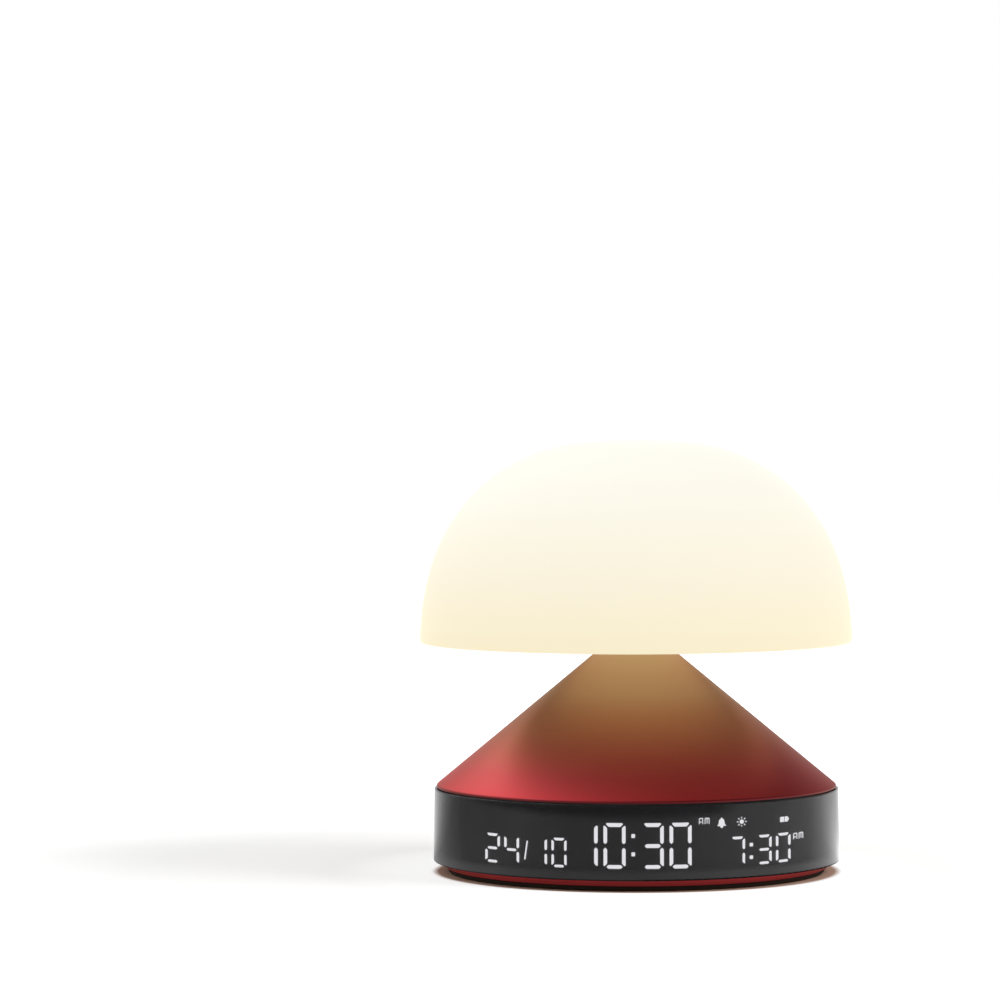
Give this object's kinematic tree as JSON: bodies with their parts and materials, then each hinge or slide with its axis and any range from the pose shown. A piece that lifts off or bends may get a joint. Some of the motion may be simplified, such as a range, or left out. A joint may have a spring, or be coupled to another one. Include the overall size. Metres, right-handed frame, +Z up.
{
  "type": "sunrise alarm clock",
  "caption": "Bedside sunrise alarm clock: glowing dome shade pressed to snooze, red metal cone, smoked display band round a flat base.",
  "frame": {"origin": "centre of the underside, on the table", "axes": "+Z up along the axis of the clock, display faces -Y, charging socket faces +Y"},
  "size_m": [0.1204, 0.1204, 0.12],
  "materials": {
    "opal_plastic": "satin opal, lit from inside",
    "red_anodised": "satin anodised red",
    "smoked_acrylic": "polished smoked acrylic",
    "light_guide": "clear white light guide, lit",
    "black_rubber": "matte",
    "black_plastic": "fine texture",
    "dark_cap": "satin",
    "white_plastic": "matte",
    "natural_acetal": "natural",
    "bare_aluminium": "brushed",
    "steel": "zinc plated",
    "spring_steel": "plain",
    "nickel": "nickel plated",
    "white_board": "white solder mask",
    "green_board": "green solder mask",
    "chip_black": "moulded",
    "lamp_yellow": "phosphor",
    "cable_white": "soft sleeve",
    "flex_amber": "flexible film",
    "cell_sleeve": "shrink sleeve",
    "paper_black": "pressed paper",
    "foam": "closed foam",
    "magnet_plate": "plated"
  },
  "bodies": {
    "base": {"guide_bush": "natural_acetal", "return_spring": "spring_steel", "inner_plate": "white_plastic", "plate_screws": "steel", "switch_board": "green_board", "snooze_switch": "chip_black", "led_cable": "cable_white", "cone_body": "red_anodised", "cone_screws": "steel", "display_band": "smoked_acrylic", "base_ring": "red_anodised", "base_screws": "steel", "foot_ring": "black_rubber", "bottom_cover": "black_plastic", "chassis": "black_plastic", "display_carrier": "black_plastic", "display_segments": "light_guide", "display_board": "green_board", "display_leds": "lamp_yellow", "display_ribbon": "flex_amber", "main_board": "green_board", "board_screws": "steel", "main_chips": "chip_black", "button_switches": "chip_black", "usb_board": "green_board", "usb_screws": "steel", "usb_socket": "nickel", "usb_ribbon": "flex_amber", "battery_cell": "cell_sleeve", "battery_cradle": "black_plastic", "battery_contacts": "nickel", "speaker_gasket": "foam", "speaker_frame": "magnet_plate", "speaker_cone": "paper_black", "speaker_magnet": "magnet_plate", "speaker_wires": "cable_white"},
    "shade": {"dome_shade": "opal_plastic", "dome_floor": "opal_plastic", "shade_hub": "white_plastic", "floor_screws": "steel", "heat_spreader": "bare_aluminium", "led_board": "white_board", "leds": "lamp_yellow", "led_screws": "steel", "press_stem": "bare_aluminium", "stop_clip": "spring_steel", "stem_foot": "white_plastic", "snooze_plunger": "dark_cap"},
    "key_set": {"button_set": "dark_cap", "plunger_set": "white_plastic"},
    "key_less": {"button_less": "dark_cap", "plunger_less": "white_plastic"},
    "key_more": {"button_more": "dark_cap", "plunger_more": "white_plastic"},
    "key_alarm": {"button_alarm": "dark_cap", "plunger_alarm": "white_plastic"},
    "key_light": {"button_light": "dark_cap", "plunger_light": "white_plastic"}
  },
  "joints": [
    {"name": "shade_press", "type": "slide", "parent": "base", "child": "shade", "axis": [0, 0, -1], "range_m": [0, 0.0008], "stiffness_N_per_m": 1500, "springref_m": -0.0016, "deforming": ["return_spring", "led_cable"]},
    {"name": "set_press", "type": "slide", "parent": "base", "child": "key_set", "axis": [0, 0, 1], "range_m": [0, 0.0004], "stiffness_N_per_m": 2000, "springref_m": -0.0004},
    {"name": "less_press", "type": "slide", "parent": "base", "child": "key_less", "axis": [0, 0, 1], "range_m": [0, 0.0004], "stiffness_N_per_m": 2000, "springref_m": -0.0004},
    {"name": "more_press", "type": "slide", "parent": "base", "child": "key_more", "axis": [0, 0, 1], "range_m": [0, 0.0004], "stiffness_N_per_m": 2000, "springref_m": -0.0004},
    {"name": "alarm_press", "type": "slide", "parent": "base", "child": "key_alarm", "axis": [0, 0, 1], "range_m": [0, 0.0004], "stiffness_N_per_m": 2000, "springref_m": -0.0004},
    {"name": "light_press", "type": "slide", "parent": "base", "child": "key_light", "axis": [0, 0, 1], "range_m": [0, 0.0004], "stiffness_N_per_m": 2000, "springref_m": -0.0004}
  ]
}
